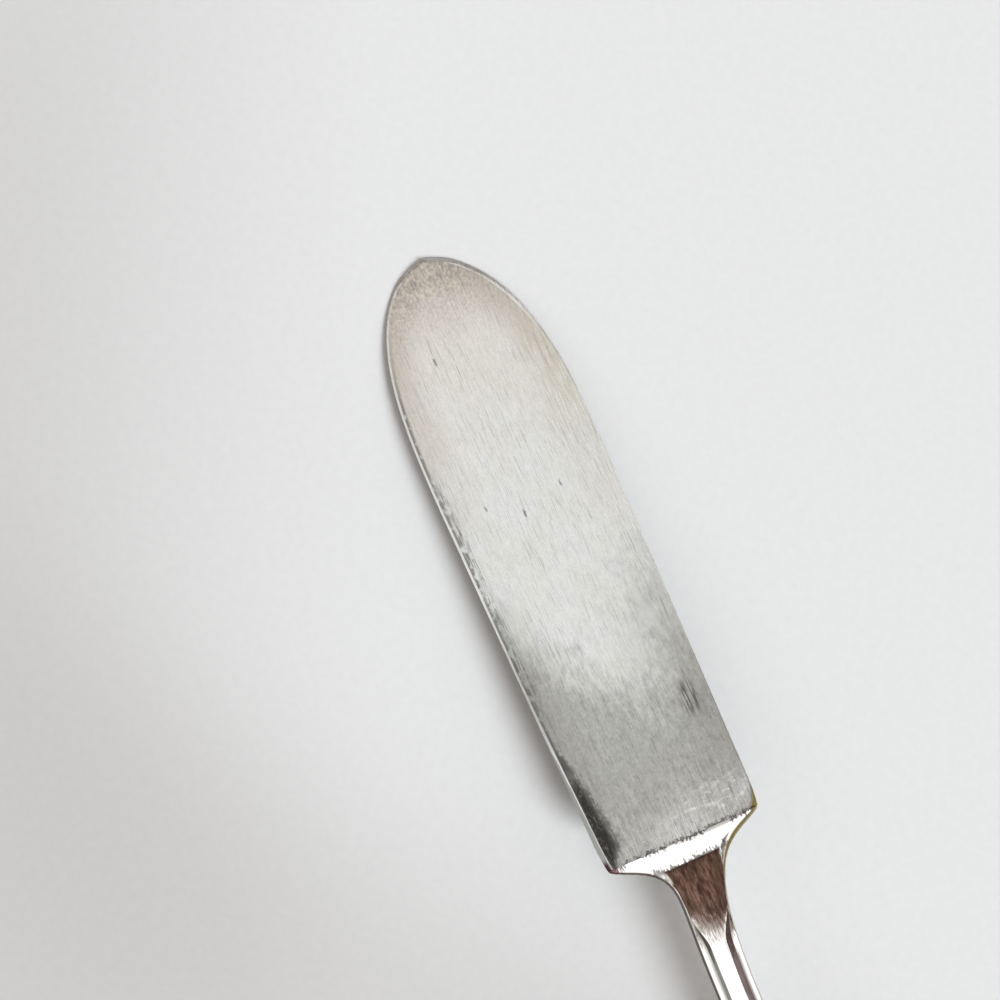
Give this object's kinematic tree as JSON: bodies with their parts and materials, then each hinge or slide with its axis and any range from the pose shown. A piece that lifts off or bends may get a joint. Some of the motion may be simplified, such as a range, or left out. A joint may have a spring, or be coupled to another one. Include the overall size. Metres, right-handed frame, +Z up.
{
  "type": "butter knife",
  "caption": "Butter knife with a broad satin blade, square coved shoulders, a slim polished neck and a hollow panelled handle.",
  "frame": {"origin": "on the table under the middle of the knife's length and width", "axes": "+X along the blade to its tip, +Y to the back of the blade, +Z up from the table"},
  "size_m": [0.178, 0.0212, 0.0085],
  "materials": {
    "satin_silver": "satin silver plate with fine lengthwise scratches and warm tarnish at the tip",
    "polished_silver": "polished silver plate, worn to warm metal along its edges",
    "handle_silver": "polished silver plate",
    "handle_cement": "cast cement filling"
  },
  "bodies": {
    "root": {"blade": "satin_silver", "bolster": "polished_silver", "handle_top_shell": "handle_silver", "handle_bottom_shell": "handle_silver", "handle_filler": "handle_cement"}
  },
  "joints": []
}
